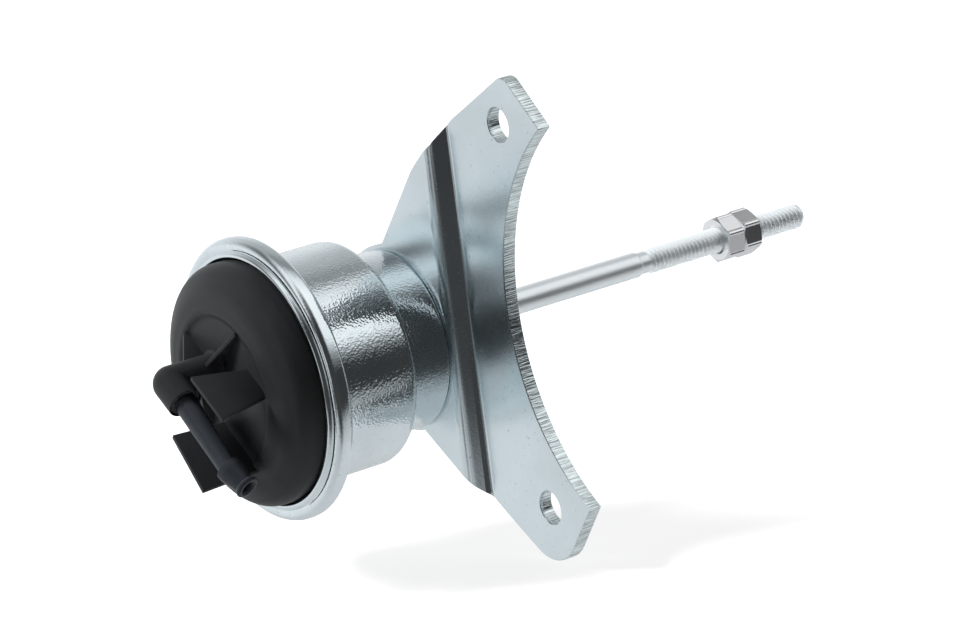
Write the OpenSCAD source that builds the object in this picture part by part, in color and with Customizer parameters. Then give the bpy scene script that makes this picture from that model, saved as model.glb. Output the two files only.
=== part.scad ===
// Boost pressure actuator: spring-loaded diaphragm canister on a stepped bracket, with a threaded push rod.
// The rod runs along X. The origin is the middle of the two bolt holes, on the bracket's bolting face.

/* [Placement] */
// Distance of the rod axis from the line of the bolt holes
axis_y = 44.9; // [42:0.1:55]
// Height of the rod axis below the middle of the bolt holes
axis_drop = 9.2; // [0:0.1:20]
// Turn of the bracket's bend line about the rod axis, in degrees
bend_lean = 1.55; // [0:0.05:4]

/* [Bracket] */
// Thickness of the bracket plate
plate_t = 3.2; // [2:0.1:4]
// Step between the canister seat and the bolting plane
plate_step = 4; // [3:0.1:8]
// Distance of the first bend from the rod axis
bend_y = 20.8; // [20.6:0.1:23]
// Slope of the strip between the two bends, in degrees
bend_slope = 48; // [35:1:65]
// Inner radius of the bends
bend_r = 1.3; // [0.8:0.1:2]
// Distance between the two bolt holes
hole_pitch = 85.2; // [70:0.1:100]
// Diameter of the bolt holes
hole_d = 7.5; // [6:0.1:9]
// Radius of the concave edge that clears the housing
scoop_r = 52.4; // [48:0.1:58]
// Distance of the deepest point of the concave edge from the rod axis
scoop_y = 38.5; // [37:0.1:42]
// Height of the centre of the concave edge over the rod axis
scoop_z = 12.75; // [8:0.05:16]
// Radius of the rounded end of the seat plane
seat_end_r = 21.4; // [21:0.1:24]
// Rounding of the corners of the blank
corner_r = 3; // [0.5:0.1:3]
// Rounding of the lower end of the blank
end_r = 10; // [4:0.5:12]

/* [Bracket outline, from the rod axis] */
// Upper edge where it leaves the seat plane, across
upper_bend_y = 14; // [10:0.1:18]
// Upper edge where it leaves the seat plane, up
upper_bend_z = 40.7; // [36:0.1:44]
// Upper edge at the bend strip, across
upper_step_y = 21.2; // [19:0.1:23]
// Upper edge at the bend strip, up
upper_step_z = 46.8; // [42:0.1:50]
// Upper edge past the bend strip, across
upper_run_y = 24.8; // [23.5:0.1:30]
// Upper edge past the bend strip, up
upper_run_z = 51.6; // [48:0.1:56]
// Upper corner of the bracket, across
upper_tip_y = 46.85; // [42:0.05:52]
// Upper corner of the bracket, up
upper_tip_z = 64.3; // [60:0.1:68]
// End of the cut-off corner, across
upper_cut_y = 62; // [58:0.1:66]
// End of the cut-off corner, up
upper_cut_z = 50.1; // [46:0.1:54]
// Lower corner at the concave edge, across
lower_cut_y = 63.4; // [58:0.1:68]
// Lower corner at the concave edge, down
lower_cut_z = 25.8; // [22:0.1:30]
// Lower end of the bracket, across
lower_end_y = 47.25; // [42:0.05:52]
// Lower end of the bracket, down
lower_end_z = 47.7; // [44:0.1:52]
// Lower edge past the bend strip, across
lower_run_y = 24.6; // [22:0.1:30]
// Lower edge past the bend strip, down
lower_run_z = 34.2; // [30:0.1:38]
// Lower edge at the bend strip, across
lower_bend_y = 19.9; // [17:0.1:22]
// Lower edge at the bend strip, down
lower_bend_z = 29.4; // [26:0.1:33]

/* [Canister] */
// Outer diameter of the main body
can_d = 51.2; // [46:0.1:54]
// Outer diameter of the foot
foot_d = 41.2; // [38:0.1:42]
// Height of the foot
foot_h = 11.7; // [9:0.1:15]
// Length of the main body, from the foot to the rim
can_h = 21.8; // [18:0.1:28]
// Thickness of the sheet
sheet_t = 0.9; // [0.7:0.05:1.2]
// Reach of the rolled rim past the cap wall
rim_reach = 4.6; // [3.5:0.1:6]
// Height of the straight edge of the rim
rim_h = 3.6; // [3:0.1:5]
// Rise of the rolled lip towards the cap
lip_rise = 1.5; // [1:0.1:2]
// Gap between the cap wall and the rolled lip
lip_gap = 0.5; // [0.2:0.05:0.8]
// Rounding between the body and its shoulder
shoulder_r = 2.4; // [1.5:0.1:4]

/* [Cap] */
// Outer diameter of the cap wall
cap_d = 54.8; // [52:0.1:60]
// Rise of the cap over the middle of the rim
cap_rise = 10.9; // [8:0.1:14]
// Rounding of the cap shoulder
cap_round = 5.5; // [3:0.1:6.5]
// Thickness of the cap wall
cap_t = 2.4; // [1.8:0.1:3]
// Diameter of the sunk middle field of the face
field_d = 35; // [30:0.5:40]
// Depth of the sunk middle field
field_depth = 0.6; // [0.3:0.1:1]
// Sideways place of the elbow, from the rod axis
elbow_y = 3.6; // [0:0.1:6]
// Height of the elbow over the rod axis
elbow_z = 4.1; // [0:0.1:6]
// Height of the hose pipe axis over the cap face
pipe_rise = 10.4; // [8:0.1:14]
// Radius of the elbow
elbow_r = 4.05; // [3.6:0.05:5]
// Length of the elbow socket, from the elbow centre to its mouth
socket_len = 6.2; // [4:0.1:8]
// Radius of the socket at its mouth
socket_r = 3.98; // [3.6:0.01:4]
// Direction of the hose pipe about the rod axis, in degrees
pipe_turn = 216.4; // [180:0.1:250]
// Thickness of the ribs and guard fins
rib_t = 1.1; // [0.8:0.1:1.6]
// Distance of each guard fin from the pipe axis
fin_gap = 9.6; // [8:0.1:12]
// Length of the short guard fin at its free edge
short_fin_len = 13.3; // [10:0.1:18]
// Distance from the elbow to the short guard fin
short_fin_start = 7.4; // [5:0.1:9]
// Height of the short guard fin over the pipe axis
short_fin_over = 1.7; // [0:0.05:3]
// Length of the long guard fin at its free edge
long_fin_len = 16.6; // [12:0.1:20]
// Distance from the elbow to the long guard fin
long_fin_start = 6.5; // [5:0.1:9]
// Height of the long guard fin over the pipe axis, at its middle
long_fin_over = 2.65; // [0:0.05:4]
// Direction of the side ribs from the pipe, in degrees
side_rib_turn = 75.4; // [60:0.1:100]
// Reach of the two side ribs from the elbow
side_rib_reach = 15.9; // [8:0.1:18]
// Height of the side ribs on the elbow, over the cap face
side_rib_rise = 3.1; // [2:0.1:8]
// Reach of the rear rib from the elbow
rear_rib_reach = 12.1; // [8:0.1:16]
// Height of the rear rib on the elbow, over the cap face
rear_rib_rise = 5.1; // [2:0.1:8]
// Mean diameter of the stop ring inside the cap
stop_ring_d = 24; // [16:0.5:28]

/* [Hose pipe] */
// Radius of the pipe in the elbow socket
plug_r = 2.3; // [2:0.05:2.6]
// Radius of the pipe at the socket's mouth
pipe_r = 2.65; // [2.3:0.05:3]
// Radius of the pipe at the barb
neck_end_r = 2.05; // [1.9:0.05:2.5]
// Length of the pipe from the socket's mouth to the barb
pipe_run = 19.7; // [16:0.1:26]
// Lean of the pipe away from the cap, in degrees
pipe_lean = 3.8; // [0:0.1:6]
// Lean of the barb back towards the cap, in degrees
barb_lean = 10; // [0:0.5:14]
// Radius of the barb
barb_r = 2.9; // [2.6:0.05:3.3]
// Length of the straight land of the barb
land_len = 1.4; // [1:0.1:2]
// Length of the barb with its tip
barb_len = 6.9; // [6:0.1:10]
// Radius of the waist behind the tip
waist_r = 2.15; // [2:0.05:2.5]
// Radius of the rounded lip at the tip
tip_r = 2.75; // [2.4:0.05:3]
// Radius of the air way
bore_r = 1.45; // [1:0.05:1.7]

/* [Diaphragm and piston] */
// Thickness of the diaphragm
skin_t = 0.9; // [0.6:0.05:1.2]
// Thickness of the diaphragm bead
bead_t = 1.2; // [1:0.05:1.6]
// Outer diameter of the piston cup
cup_d = 37.6; // [34:0.1:38.4]
// Depth of the piston cup
cup_h = 13; // [10:0.1:16]
// Thickness of the piston cup
cup_t = 1.1; // [0.8:0.1:1.5]
// Diameter of the clamping disc
disc_d = 32; // [26:0.5:35]
// Thickness of the clamping disc
disc_t = 1.4; // [1:0.1:2]
// Depth of the diaphragm's fold
fold_h = 7; // [5:0.1:9]

/* [Spring] */
// Diameter of the spring wire
wire_d = 2.4; // [1.8:0.1:3]
// Mean diameter of the spring
spring_d = 29.6; // [26:0.1:31]
// Number of working turns
spring_turns = 4; // [3:0.5:6]

/* [Push rod] */
// Diameter of the rod and of its thread
rod_d = 6; // [5:0.1:7]
// Reach of the rod past the bolting face
rod_reach = 109.8; // [90:0.1:130]
// Length of the thread
thread_len = 46.6; // [30:0.1:60]
// Radius of the neck at the end of the thread
neck_r = 2.6; // [2:0.05:2.8]
// Travel of the rod
stroke = 8; // [5:0.5:9]
// Radius of the spigot that holds the piston
spigot_r = 2.2; // [1.8:0.1:2.5]
// Radius of the riveted rod head
rivet_r = 4; // [3.4:0.1:5]

/* [Guide] */
// Outer diameter of the guide bush
bush_d = 12; // [10:0.1:14]
// Diameter of the bush flange
bush_flange_d = 20; // [17:0.1:22]
// Thickness of the bush flange
bush_flange_t = 2; // [1.5:0.1:3]
// Length of the bush inside the canister, from the flange
bush_in = 9; // [6:0.1:11]
// Length of the bush past the bracket
bush_out = 2.4; // [2:0.1:4]
// Width of the clinch collar on the bracket
clinch_w = 3; // [2:0.1:5]
// Outer diameter of the rod seal
seal_d = 9.6; // [8.6:0.1:10]
// Length of the rod seal
seal_h = 2.6; // [2:0.1:4]
// Thickness of the seal's keeper washer
keeper_t = 0.8; // [0.6:0.1:1.2]
// Thickness of the stop bumper
bumper_t = 2; // [1.5:0.1:3]
// Outer diameter of the piston's spacer sleeve
sleeve_d = 10.4; // [9:0.1:11.5]

/* [Nuts] */
// Width of the nuts across flats
nut_af = 10; // [8:0.1:11]
// Height of a nut
nut_h = 5; // [4.5:0.1:6]
// Distance from the rod tip to the outer nut
tip_to_nut = 15.2; // [6:0.1:20]
// Turn of the inner nut, in degrees
inner_nut_turn = 9; // [0:1:60]
// Turn of the outer nut, in degrees
outer_nut_turn = 58; // [0:1:60]

/* [Fits] */
// Radial clearance of the rod in its bush and of the nuts on the thread
run_gap = 0.05; // [0.02:0.01:0.1]
// Gap between parts that move past or stop against each other
move_gap = 0.3; // [0.2:0.05:0.6]
// Gap between the two nuts
nut_gap = 0.1; // [0.05:0.05:0.5]

/* [Hidden] */
$fn = 96;
eps = 0.01;
arc_steps = 5;

bolting_x = 0;
seat_x = bolting_x - plate_step - plate_t;
shoulder_x = seat_x - foot_h;
rim_back_x = shoulder_x - can_h;
rim_mid_x = rim_back_x - rim_h / 2;
rim_front_x = rim_back_x - rim_h;
lip_x = rim_front_x - lip_rise;
flange_in_x = rim_back_x - sheet_t;
bead_x = flange_in_x - bead_t;
face_x = rim_mid_x - cap_rise;
field_x = face_x + field_depth;
cap_in_x = field_x + cap_t;
pipe_x = face_x - pipe_rise;
rib_foot_x = cap_in_x - cap_t / 2;
pipe_foot = 1.6;
seal_pocket = 1.2;
pipe_seal_t = 0.7;
seal_out_r = socket_r - 0.4;

can_r = can_d / 2;
foot_r = foot_d / 2;
cap_r = cap_d / 2;
rim_r = cap_r + rim_reach;
lip_r = cap_r + lip_gap;
pocket_r = rim_r - sheet_t;
lip_slope = lip_rise / (rim_r - lip_r);
bead_r = pocket_r - 0.1;
bend_round = 1;
rod_r = rod_d / 2;
bore_fit_r = rod_r + run_gap;

bush_r = bush_d / 2;
base_in_x = seat_x - sheet_t;
bush_flange_x = base_in_x - bush_flange_t;
bush_in_x = bush_flange_x - bush_in;
bush_out_x = bolting_x - plate_step + bush_out;
pocket_x = bush_out_x - keeper_t - seal_h;
bumper_x = bush_in_x - bumper_t;
sleeve_back_x = bumper_x - move_gap - stroke;
cup_front_x = bead_x + (bead_t - skin_t) / 2;
cup_back_x = cup_front_x + cup_t;
disc_back_x = cup_front_x - skin_t;
disc_x = disc_back_x - disc_t;
washer_t = disc_t * 0.8;
washer_x = disc_x - washer_t;
stop_ring_x = disc_x - move_gap;
wall_r = can_r - sheet_t - move_gap;
hub_r = cup_d / 2 + move_gap;
fold_r = (wall_r - hub_r) / 2;
fold_mid_r = (wall_r + hub_r) / 2;
fold_mid_x = bead_x + fold_h - fold_r;

blank_y0 = -scoop_y - scoop_r * 0.8;
blank_y1 = seat_end_r * 1.4;
blank_z0 = -lower_end_z * 1.2;
blank_z1 = upper_tip_z * 1.1;

nut_outer_x = rod_reach - tip_to_nut - nut_h;
nut_inner_x = nut_outer_x - nut_gap - nut_h;

// A cylinder along X from x0 to x1
module bar_x(r, x0, x1) {
    translate([x0, 0, 0]) rotate([0, 90, 0]) cylinder(r = r, h = x1 - x0);
}

// A cone along X from x0 to x1
module cone_x(r0, r1, x0, x1) {
    translate([x0, 0, 0]) rotate([0, 90, 0]) cylinder(r1 = r0, r2 = r1, h = x1 - x0);
}

// A ring along X
module ring_x(r_out, r_in, x0, x1) {
    difference() {
        bar_x(r_out, x0, x1);
        bar_x(r_in, x0 - 1, x1 + 1);
    }
}

// A profile of radius and X places, turned about X
module turn_x(profile) {
    rotate([0, 90, 0]) rotate_extrude() polygon(profile);
}

// Children placed on the rod axis
module on_axis() {
    translate([0, axis_y, -axis_drop]) children();
}

function unit(v) = v / norm(v);

// Points of a round between the neighbours a and c of corner b
function fillet(a, b, c, r) = let(
        ta = unit(a - b),
        tc = unit(c - b),
        half = acos(ta * tc) / 2,
        reach = r / tan(half),
        centre = b + unit(ta + tc) * r / sin(half),
        p = b + ta * reach - centre,
        q = b + tc * reach - centre,
        from = atan2(p[1], p[0]),
        turn = atan2(q[1], q[0]) - from,
        sweep = turn > 180 ? turn - 360 : turn < -180 ? turn + 360 : turn)
    r <= 0 ? [b] : [for (i = [0 : arc_steps]) let(t = from + sweep * i / arc_steps)
        centre + r * [cos(t), sin(t)]];

// An outline whose corners [x, y, radius] are rounded
function rounded(corners) = let(n = len(corners), at = [for (c = corners) [c[0], c[1]]])
    [for (i = [0 : n - 1]) each fillet(at[(i + n - 1) % n], at[i], at[(i + 1) % n], corners[i][2])];

// Place of the inner face of the rolled lip at radius r
function lip_in(r) = rim_front_x + sheet_t - (pocket_r - r) * lip_slope;

// Deep-drawn can: foot, body, rim and the lip that is rolled over the cap
module canister() {
    inner_r = can_r - sheet_t;
    foot_in_r = foot_r - sheet_t;
    foot_round = 1.2;
    inner_round = 0.8;
    rim_round = 0.9;
    roll_round = 1.8;
    flange_round = 1.4;
    profile = rounded([
        [bush_r, seat_x, 0],
        [foot_r, seat_x, foot_round],
        [foot_r, shoulder_x, inner_round],
        [can_r, shoulder_x, shoulder_r],
        [can_r, rim_back_x, flange_round],
        [rim_r, rim_back_x, rim_round],
        [rim_r, rim_front_x, roll_round],
        [lip_r, lip_x, sheet_t * 0.45],
        [lip_r, lip_in(lip_r), 0],
        [pocket_r, lip_in(pocket_r), 0],
        [pocket_r, flange_in_x, 0],
        [inner_r, flange_in_x, bend_round],
        [inner_r, shoulder_x - sheet_t, shoulder_r - sheet_t / 2],
        [foot_in_r, shoulder_x - sheet_t, inner_round],
        [foot_in_r, base_in_x, foot_round / 2],
        [bush_r, base_in_x, 0]]);
    color([0.82, 0.84, 0.86]) on_axis() turn_x([for (p = profile) [p[0], p[1]]]);
}

// Outer line of the cap from the middle of its face to its wall, in radius and X
function cap_outline() = let(
        field_r = field_d / 2,
        ridge_w = 0.8,
        slant_in = cap_round * 1.2,
        slant_down = cap_round * 0.55,
        outline = rounded([
            [0, field_x, 0],
            [field_r - ridge_w / 2, field_x, 0],
            [field_r + ridge_w / 2, face_x, 0.3],
            [cap_r - slant_in, face_x, cap_round * 0.7],
            [cap_r, face_x + slant_down, cap_round * 0.6],
            [cap_r, cap_in_x + cap_round, 0],
            [0, cap_in_x + cap_round, 0]]),
        n = len(outline))
    [for (i = [0 : n - 2]) [outline[i][0], outline[i][1]]];

// Shell of the cap, turned about the rod axis, with its rim under the rolled lip
module cap_shell() {
    inner_r = cap_r - cap_t;
    seat_gap = 0.02;
    inner_line = rounded([
        [bead_r, bead_x, 0],
        [inner_r, bead_x, 0.5],
        [inner_r, cap_in_x, cap_round - cap_t],
        [0, cap_in_x, 0]]);
    outer_line = cap_outline();
    turn_x(concat(
        [for (i = [0 : len(outer_line) - 2]) outer_line[i]],
        [[cap_r, lip_in(cap_r) + seat_gap], [bead_r, lip_in(bead_r) + seat_gap]],
        inner_line));
}

// The frame of the hose pipe: X along the pipe from the elbow centre, Y away from the cap
module pipe_frame() {
    translate([pipe_x, elbow_y, elbow_z]) rotate([pipe_turn, 0, 0]) rotate([0, 0, 90]) children();
}

// A triangular rib from the elbow down to the cap face, along the direction turn
module elbow_rib(turn, reach, rise) {
    root = elbow_r * 0.6;
    toe_h = 0.2;
    translate([0, elbow_y, elbow_z]) rotate([turn, 0, 0]) translate([0, 0, -rib_t / 2])
        linear_extrude(rib_t) polygon([
            [rib_foot_x, root],
            [rib_foot_x, reach],
            [face_x - toe_h, reach],
            [face_x - rise, elbow_r - toe_h]]);
}

// A guard fin beside the hose pipe: its ends lean in by lean towards the cap, its edge rises by rise
module guard_fin(side, start, len, lean, over, rise) {
    foot = pipe_rise + field_depth + rib_t;
    pipe_frame() translate([start, 0, side * fin_gap - rib_t / 2]) linear_extrude(rib_t) polygon([
        [lean, -foot],
        [0, over - rise],
        [len, over + rise],
        [len - lean, -foot]]);
}

// Moulded cap: the turned shell and the ring inside it that stops the piston
module cap() {
    ring_t = 2;
    color([0.17, 0.18, 0.19]) on_axis() difference() {
        union() {
            cap_shell();
            ring_x((stop_ring_d + ring_t) / 2, (stop_ring_d - ring_t) / 2, cap_in_x - eps, stop_ring_x);
        }
        translate([0, elbow_y, elbow_z]) bar_x(bore_r, field_x - 1, cap_in_x + 1);
    }
}

// The cap filled up to its outer line, which cuts the feet of what stands on it
module cap_body() {
    turn_x(concat(cap_outline(), [[0, cap_in_x]]));
}

// Elbow of the cap with its three ribs, seated on the shell's face; the ball's poles lie inside its pipes
module pipe_elbow() {
    barrel_r = elbow_r - 0.06;
    color([0.17, 0.18, 0.19]) on_axis() difference() {
        union() {
            translate([0, elbow_y, elbow_z]) bar_x(barrel_r, pipe_x, rib_foot_x - rib_t / 4);
            pipe_frame() rotate([-90, 0, -45]) sphere(r = elbow_r);
            pipe_frame() cone_x(barrel_r, socket_r, 0, socket_len);
            elbow_rib(pipe_turn - side_rib_turn, side_rib_reach, side_rib_rise);
            elbow_rib(pipe_turn + side_rib_turn, side_rib_reach, side_rib_rise);
            elbow_rib(pipe_turn + 180, rear_rib_reach, rear_rib_rise);
        }
        cap_body();
        translate([0, elbow_y, elbow_z]) bar_x(bore_r, pipe_x, cap_in_x);
        pipe_frame() bar_x(bore_r, 0, socket_len + 1);
        pipe_frame() bar_x(plug_r, pipe_foot, socket_len);
        pipe_frame() bar_x(seal_out_r, socket_len - seal_pocket, socket_len + 1);
    }
}

// Guard fin on the near side of the hose pipe, seated on the shell's face
module short_fin() {
    lean = 2.6;
    color([0.17, 0.18, 0.19]) on_axis() difference() {
        guard_fin(-1, short_fin_start, short_fin_len, lean, short_fin_over, 0);
        cap_body();
    }
}

// Guard fin on the far side of the hose pipe, with an edge that rises towards the barb
module long_fin() {
    lean = 0.8;
    rise = 1.05;
    color([0.17, 0.18, 0.19]) on_axis() difference() {
        guard_fin(1, long_fin_start, long_fin_len, lean, long_fin_over, rise);
        cap_body();
    }
}

// The frame of the leaning pipe: X along it from the socket's mouth
module run_frame() {
    pipe_frame() translate([socket_len, 0, 0]) rotate([0, 0, pipe_lean]) children();
}

// The frame of the barb: X along it from the end of the pipe
module barb_frame() {
    run_frame() translate([pipe_run, 0, 0]) rotate([0, 0, -pipe_lean - barb_lean]) children();
}

// Tapered hose pipe, pushed into the elbow socket, with a barb and a rounded lip at its tip
module hose_pipe() {
    heel = 0.25;
    lip_w = 1.3;
    mouth = 0.45;
    lip_x0 = barb_len - lip_w;
    color([0.25, 0.26, 0.3]) on_axis() difference() {
        union() {
            pipe_frame() bar_x(plug_r, pipe_foot, socket_len + 0.5);
            run_frame() cone_x(pipe_r, neck_end_r, -heel, pipe_run + heel);
            barb_frame() turn_x(rounded([
                [0, 0, 0],
                [barb_r, 0, 0],
                [barb_r, land_len, 0],
                [waist_r, lip_x0, 0],
                [tip_r, lip_x0 + lip_w * 0.35, lip_w * 0.2],
                [tip_r, barb_len, lip_w * 0.4],
                [0, barb_len, 0]]));
        }
        pipe_frame() bar_x(bore_r, 0, socket_len + bore_r / 2);
        run_frame() bar_x(bore_r, -heel, pipe_run + bore_r / 4);
        barb_frame() bar_x(bore_r, -bore_r / 4, barb_len + 1);
        barb_frame() cone_x(bore_r, bore_r + mouth, barb_len - mouth, barb_len + eps);
    }
}

// Sealing ring in the mouth of the socket
module pipe_seal() {
    ring_x0 = socket_len - seal_pocket;
    color([0.06, 0.06, 0.06]) on_axis() pipe_frame()
        ring_x(seal_out_r, plug_r, ring_x0, ring_x0 + pipe_seal_t);
}

// Half circle of radius r about the middle of the diaphragm's fold, from angle t0 to t1
function fold_arc(r, t0, t1) = [for (i = [0 : 12]) let(t = t0 + (t1 - t0) * i / 12)
    [fold_mid_r + r * cos(t), fold_mid_x + r * sin(t)]];

// Rolling diaphragm: a bead under the cap, a fold that rolls, and a flat middle on the piston cup
module diaphragm() {
    relief = 0.8;
    color([0.2, 0.18, 0.17]) on_axis() turn_x(concat(
        [[spigot_r, disc_back_x], [hub_r, disc_back_x], [hub_r + skin_t, cup_front_x]],
        fold_arc(fold_r - skin_t, 180, 0),
        [[wall_r - skin_t, bead_x], [bead_r, bead_x], [bead_r, flange_in_x], [wall_r + relief, flange_in_x]],
        [[wall_r, flange_in_x + relief]],
        fold_arc(fold_r, 0, 180),
        [[hub_r, cup_front_x], [spigot_r, cup_front_x]]));
}

// Disc that clamps the diaphragm to the piston cup
module clamp_disc() {
    r = disc_d / 2;
    edge_round = 0.6;
    color([0.72, 0.74, 0.76]) on_axis() turn_x(rounded([
        [spigot_r, disc_x, 0],
        [r, disc_x, edge_round],
        [r, disc_back_x, edge_round / 2],
        [spigot_r, disc_back_x, 0]]));
}

// Washer under the riveted head of the rod
module head_washer() {
    rim_w = 1.8;
    color([0.78, 0.79, 0.8]) on_axis() ring_x(rivet_r + rim_w, spigot_r, washer_x, disc_x);
}

// Pressed piston cup with a flanged skirt that holds the spring
module piston_cup() {
    r = cup_d / 2;
    skirt_x = cup_front_x + cup_h;
    press_round = 2;
    edge_round = 0.3;
    color([0.75, 0.76, 0.77]) on_axis() turn_x(rounded([
        [spigot_r, cup_front_x, 0],
        [r, cup_front_x, press_round],
        [r, skirt_x, edge_round],
        [r - cup_t, skirt_x, edge_round],
        [r - cup_t, cup_back_x, press_round - cup_t + edge_round],
        [spigot_r, cup_back_x, 0]]));
}

// Sleeve on the rod between the piston cup and the stop
module spacer_sleeve() {
    color([0.6, 0.61, 0.62]) on_axis() ring_x(sleeve_d / 2, rod_r, cup_back_x, sleeve_back_x);
}

// Push rod: riveted head, spigot, shank, neck and the thread's outer cylinder
module push_rod() {
    thread_x = rod_reach - thread_len;
    neck_len = 2.6;
    neck_x = thread_x - neck_len;
    slope = rod_r - neck_r;
    head_t = 0.9;
    head_drop = 1.2;
    tip_cut = 0.8;
    head_x = washer_x - head_t;
    color([0.8, 0.82, 0.83]) on_axis() turn_x([
        [0, head_x - head_t],
        [rivet_r - head_drop, head_x - head_t],
        [rivet_r, head_x],
        [rivet_r, washer_x],
        [spigot_r, washer_x],
        [spigot_r, cup_back_x],
        [rod_r, cup_back_x],
        [rod_r, neck_x - slope],
        [neck_r, neck_x],
        [neck_r, thread_x - slope],
        [rod_r, thread_x],
        [rod_r, rod_reach - tip_cut],
        [rod_r - tip_cut, rod_reach],
        [0, rod_reach]]);
}

// Place along X of the wire's centre at turn angle a, with one closed turn at each end
function coil_x(a, x0, x1, total) = let(
        open = total - 720,
        rise = x1 - x0 - 2 * wire_d,
        first = min(a, 360) / 360,
        middle = min(max(a - 360, 0), open) / open,
        last = max(a - 360 - open, 0) / 360)
    x0 + wire_d * (first + last) + rise * middle;

// Helical spring: closed end turns and open working turns, swept round the rod axis
module return_spring() {
    wire_r = wire_d / 2;
    end_gap = move_gap / 3;
    x0 = cup_back_x + wire_r + end_gap;
    x1 = base_in_x - sheet_t - wire_r - end_gap;
    total = (spring_turns + 2) * 360;
    steps = round(total / 15);
    sides = 8;
    points = [for (i = [0 : steps], k = [0 : sides - 1]) let(
            a = total * i / steps,
            s = 360 * k / sides,
            r = spring_d / 2 + wire_r * cos(s),
            x = coil_x(a, x0, x1, total) + wire_r * sin(s))
        [x, r * cos(a), r * sin(a)]];
    walls = [for (i = [0 : steps - 1], k = [0 : sides - 1]) let(n = (k + 1) % sides)
        [i * sides + k, i * sides + n, (i + 1) * sides + n, (i + 1) * sides + k]];
    ends = [[for (k = [sides - 1 : -1 : 0]) k], [for (k = [0 : sides - 1]) steps * sides + k]];
    color([0.55, 0.57, 0.6]) on_axis() polyhedron(points, concat(walls, ends), convexity = 8);
}

// Pressed seat that centres the spring in the foot
module spring_seat() {
    r_out = foot_r - sheet_t - 0.8;
    r_in = bush_flange_d / 2 + 0.2;
    rise = 3;
    press_round = 0.5;
    color([0.7, 0.71, 0.72]) on_axis() turn_x(rounded([
        [r_in, base_in_x, 0],
        [r_out, base_in_x, 0],
        [r_out, base_in_x - sheet_t, 0],
        [r_in + sheet_t, base_in_x - sheet_t, press_round],
        [r_in + sheet_t, base_in_x - rise, press_round / 2],
        [r_in, base_in_x - rise, 0]]));
}

// Flanged guide bush through the can and the bracket, with a seal pocket
module guide_bush() {
    color([0.62, 0.52, 0.34]) on_axis() difference() {
        union() {
            bar_x(bush_r, bush_in_x, bush_out_x);
            bar_x(bush_flange_d / 2, bush_flange_x, base_in_x);
        }
        bar_x(bore_fit_r, bush_in_x - 1, bush_out_x + 1);
        bar_x(seal_d / 2, pocket_x, bush_out_x + 1);
    }
}

// Rubber ring that stops the piston's spacer sleeve
module stop_bumper() {
    edge = 0.3;
    color([0.12, 0.12, 0.12]) on_axis() ring_x(bush_r - edge, rod_r + move_gap, bumper_x, bush_in_x);
}

// Lip seal round the rod
module rod_seal() {
    back_x = pocket_x + seal_h;
    lip_len = seal_h * 0.6;
    lip_lift = 0.5;
    color([0.1, 0.1, 0.1]) on_axis() turn_x([
        [bore_fit_r, pocket_x],
        [seal_d / 2, pocket_x],
        [seal_d / 2, back_x],
        [bore_fit_r + lip_lift, back_x],
        [bore_fit_r, pocket_x + lip_len]]);
}

// Washer that keeps the seal in its pocket
module seal_keeper() {
    color([0.7, 0.71, 0.72]) on_axis()
        ring_x(seal_d / 2, rod_r + move_gap, bush_out_x - keeper_t, bush_out_x);
}

// Outline of the flat bracket blank, seen along the rod, from the rod axis: [across, up, corner radius]
function blank() = rounded([
    [seat_end_r * 0.374, seat_end_r * 0.668, 0],
    [-upper_bend_y, upper_bend_z, corner_r * 1.3],
    [-upper_step_y, upper_step_z, corner_r * 0.3],
    [-upper_run_y, upper_run_z, corner_r * 0.6],
    [-upper_tip_y, upper_tip_z, corner_r],
    [-upper_cut_y, upper_cut_z, 0],
    [-scoop_y - scoop_r * 0.7, scoop_z, 0],
    [-lower_cut_y, -lower_cut_z, 0],
    [-lower_end_y, -lower_end_z, end_r],
    [-lower_run_y, -lower_run_z, corner_r],
    [-lower_bend_y, -lower_bend_z, corner_r],
    [seat_end_r * 0.374, -seat_end_r * 0.533, 0]]);

// Stepped section of the bracket, across the two bends
function section() = let(
        run = plate_step / tan(bend_slope),
        skew = plate_t * tan(bend_slope / 2),
        far_x = seat_x + plate_t,
        near_x = seat_x + plate_step)
    rounded([
        [seat_x, blank_y1, 0],
        [seat_x, -bend_y, bend_r + plate_t],
        [near_x, -bend_y - run, bend_r],
        [near_x, blank_y0, 0],
        [bolting_x, blank_y0, 0],
        [bolting_x, -bend_y - run + skew, bend_r + plate_t],
        [far_x, -bend_y + skew, bend_r],
        [far_x, blank_y1, 0]]);

// Stepped bracket: two bends, concave edge and bolt holes
module bracket() {
    x0 = seat_x - 1;
    x1 = bolting_x + 1;
    color([0.76, 0.8, 0.83]) difference() {
        on_axis() rotate([bend_lean, 0, 0]) difference() {
            intersection() {
                translate([0, 0, blank_z0]) linear_extrude(blank_z1 - blank_z0) polygon(section());
                union() {
                    translate([x0, 0, 0]) rotate([90, 0, 90]) linear_extrude(x1 - x0) polygon(blank());
                    bar_x(seat_end_r, x0, x1);
                }
            }
            translate([0, -scoop_y - scoop_r, scoop_z]) bar_x(scoop_r, x0 - 1, x1 + 1);
            bar_x(bush_r, x0 - 1, x1 + 1);
        }
        for (side = [-1, 1])
            translate([0, 0, side * hole_pitch / 2]) bar_x(hole_d / 2, x0, x1);
    }
}

// Collar that clinches the bush to the bracket
module clinch_collar() {
    r = bush_r + clinch_w;
    back_x = seat_x + plate_t;
    edge_round = 0.6;
    top_x = back_x + bush_out - edge_round;
    color([0.74, 0.75, 0.76]) on_axis() turn_x(rounded([
        [bush_r, back_x, 0],
        [r, back_x, edge_round / 3],
        [r, top_x, edge_round],
        [bush_r, top_x, 0]]));
}

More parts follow.
